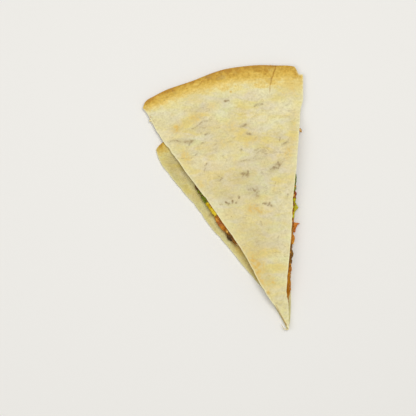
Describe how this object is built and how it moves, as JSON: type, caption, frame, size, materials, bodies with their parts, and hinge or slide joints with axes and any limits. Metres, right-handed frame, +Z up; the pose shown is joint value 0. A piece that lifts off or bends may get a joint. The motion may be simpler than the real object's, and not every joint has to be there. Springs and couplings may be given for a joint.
{
  "type": "quesadilla wedge",
  "caption": "Wedge of a toasted quesadilla, with a filling of bean, corn, pepper and melted cheese showing at its cuts between flour tortillas.",
  "frame": {"origin": "middle of the box round the wedge, on the surface that it lies on", "axes": "+Y runs from the pointed tip towards the browned rim, +Z up through the thickness, and +X to the right as seen from above with the tip towards the viewer"},
  "size_m": [0.1052, 0.1738, 0.0114],
  "materials": {
    "toasted_tortilla": "matte floury wheat tortilla, dry-toasted, golden brown at the rim",
    "melted_filling": "melted cheese and chilli sauce, moist and uneven",
    "black_bean": "cooked bean skin, smooth and moist",
    "sweetcorn": "cooked kernel, smooth and moist",
    "green_pepper": "cooked pepper, soft, moist",
    "red_pepper": "cooked pepper in sauce, soft, moist",
    "yellow_pepper": "cooked pepper chip, moist",
    "tomato": "tomato skin shard, thin, moist"
  },
  "bodies": {
    "root": {"bottom_tortilla": "toasted_tortilla", "filling": "melted_filling", "top_tortilla": "toasted_tortilla", "corn_left_1": "sweetcorn", "bean_left_1": "black_bean", "green_pepper_left_1": "green_pepper", "corn_left_2": "sweetcorn", "red_pepper_left_1": "red_pepper", "bean_left_2": "black_bean", "red_pepper_left_2": "red_pepper", "corn_left_3": "sweetcorn", "bean_left_3": "black_bean", "green_pepper_left_2": "green_pepper", "bean_left_4": "black_bean", "red_pepper_right_1": "red_pepper", "red_pepper_right_2": "red_pepper", "bean_right_1": "black_bean", "red_pepper_right_3": "red_pepper", "tomato_right": "tomato", "yellow_pepper_right": "yellow_pepper", "bean_right_2": "black_bean", "green_pepper_right": "green_pepper", "corn_right_1": "sweetcorn", "bean_right_3": "black_bean", "corn_right_2": "sweetcorn"}
  },
  "joints": []
}
